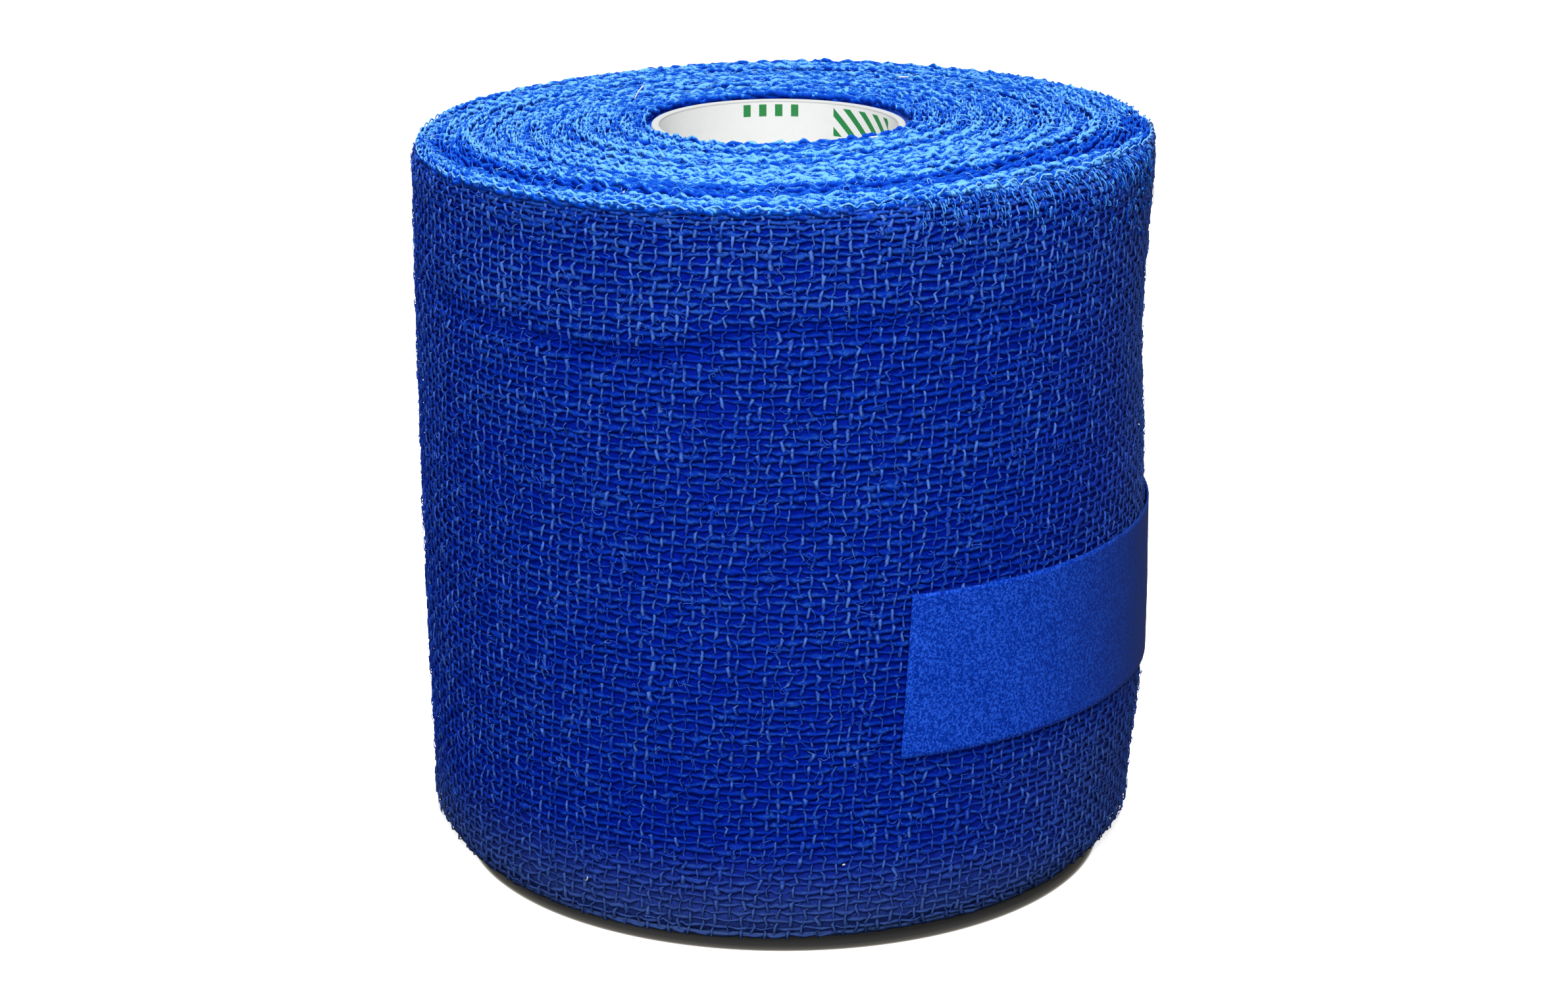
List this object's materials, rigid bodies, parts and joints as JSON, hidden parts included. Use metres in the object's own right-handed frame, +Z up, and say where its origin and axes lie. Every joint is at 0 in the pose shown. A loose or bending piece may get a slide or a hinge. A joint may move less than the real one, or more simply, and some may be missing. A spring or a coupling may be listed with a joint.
{
  "type": "cohesive bandage roll",
  "caption": "Roll of blue woven cohesive bandage standing on its end, wound on a plain white paper tube and held shut by a short strip of tape.",
  "frame": {"origin": "on the table surface at the middle of the roll's footprint", "axes": "+Z up along the winding axis, -Y the front, +X the side where the tape holds the free end"},
  "size_m": [0.0836, 0.0823, 0.0812],
  "materials": {
    "cloth": "matte open plain weave",
    "paper": "smooth matte",
    "tape": "matte, slightly see-through"
  },
  "bodies": {
    "root": {"wound_cloth": "cloth", "core_tube": "paper", "closing_tape": "tape"}
  },
  "joints": []
}
